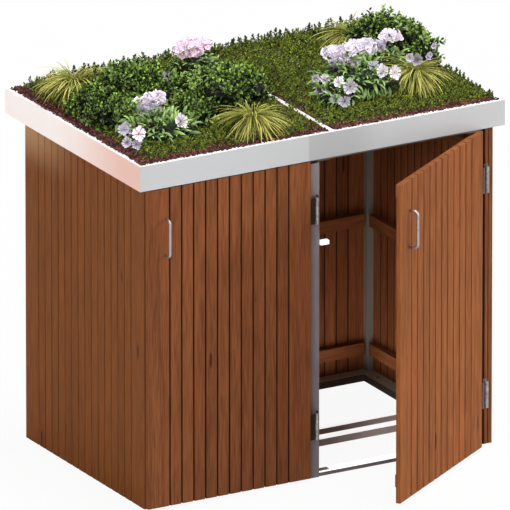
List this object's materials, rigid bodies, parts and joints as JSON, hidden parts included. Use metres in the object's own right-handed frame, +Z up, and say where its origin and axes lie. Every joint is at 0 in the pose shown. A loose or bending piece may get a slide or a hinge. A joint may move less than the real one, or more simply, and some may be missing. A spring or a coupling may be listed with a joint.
{
  "type": "wheelie bin store",
  "caption": "Timber-clad bin store on a steel frame: two hinged doors, open bays behind them and a planted green roof.",
  "frame": {"origin": "on the ground, midway between the four ground fixing holes of the side rails, which is midway between the side walls and midway front to back of the body", "axes": "+X to the right of someone facing the doors, +Y from the doors to the back wall, +Z up"},
  "size_m": [1.4339, 1.3108, 1.432],
  "materials": {
    "frame_steel": "satin powder coat",
    "wall_timber": "oiled hardwood",
    "batten_timber": "oiled hardwood",
    "door_timber": "oiled hardwood",
    "fascia_sheet": "satin light grey",
    "tray_sheet": "satin",
    "dark_plastic": "matte",
    "fleece": "needle felt",
    "lava_gravel": "loose gravel",
    "sedum": "low succulent cover",
    "box_leaves": "small glossy leaves",
    "flowering_plants": "leaves and small flowers",
    "golden_grass": "arching blades",
    "bright_steel": "satin stainless",
    "magnet": "matte"
  },
  "bodies": {
    "store": {"base_rail_left": "frame_steel", "base_rail_right": "frame_steel", "base_rail_back": "frame_steel", "base_rail_centre": "frame_steel", "door_thresholds": "frame_steel", "floor_crossbars_front": "frame_steel", "floor_crossbars_rear": "frame_steel", "post_front_left": "frame_steel", "post_front_right": "frame_steel", "post_back_left": "frame_steel", "post_back_right": "frame_steel", "post_mid_front": "frame_steel", "post_mid_back": "frame_steel", "top_rail_front": "frame_steel", "top_rail_back": "frame_steel", "top_rail_left": "frame_steel", "top_rail_right": "frame_steel", "top_rail_centre": "frame_steel", "roof_bearers": "frame_steel", "corner_brackets": "frame_steel", "left_wall_boards": "wall_timber", "right_wall_boards": "wall_timber", "back_wall_boards": "wall_timber", "left_wall_battens": "batten_timber", "right_wall_battens": "batten_timber", "back_wall_battens": "batten_timber", "jamb_strip_left": "batten_timber", "jamb_strip_right": "batten_timber", "roof_fascia": "fascia_sheet", "tray_divider": "fascia_sheet", "planting_tray_left": "tray_sheet", "planting_tray_right": "tray_sheet", "drain_spouts": "dark_plastic", "drainage_boards": "dark_plastic", "filter_fleeces": "fleece", "substrate_left": "lava_gravel", "substrate_right": "lava_gravel", "sedum_mat_left": "sedum", "sedum_mat_right": "sedum", "box_bushes": "box_leaves", "flower_clumps": "flowering_plants", "grass_tufts": "golden_grass", "fixed_hinge_leaves": "bright_steel", "hinge_pins": "bright_steel", "hinge_frame_screws": "bright_steel", "catch_brackets": "frame_steel", "catch_magnets": "magnet"},
    "left_door": {"left_door_boards": "door_timber", "left_door_battens": "batten_timber", "left_door_handle": "bright_steel", "left_door_hinge_leaves": "bright_steel", "left_door_fasteners": "bright_steel", "left_door_strike_plate": "bright_steel"},
    "right_door": {"right_door_boards": "door_timber", "right_door_battens": "batten_timber", "right_door_handle": "bright_steel", "right_door_hinge_leaves": "bright_steel", "right_door_fasteners": "bright_steel", "right_door_strike_plate": "bright_steel"}
  },
  "joints": [
    {"name": "left_door_swing", "type": "hinge", "parent": "store", "child": "left_door", "pos_m": [-0.02475, -0.448, 0.5835], "axis": [0, 0, 1], "range_deg": [0, 95]},
    {"name": "right_door_swing", "type": "hinge", "parent": "store", "child": "right_door", "pos_m": [0.63975, -0.448, 0.5835], "axis": [0, 0, 1], "range_deg": [-34, 61]}
  ]
}
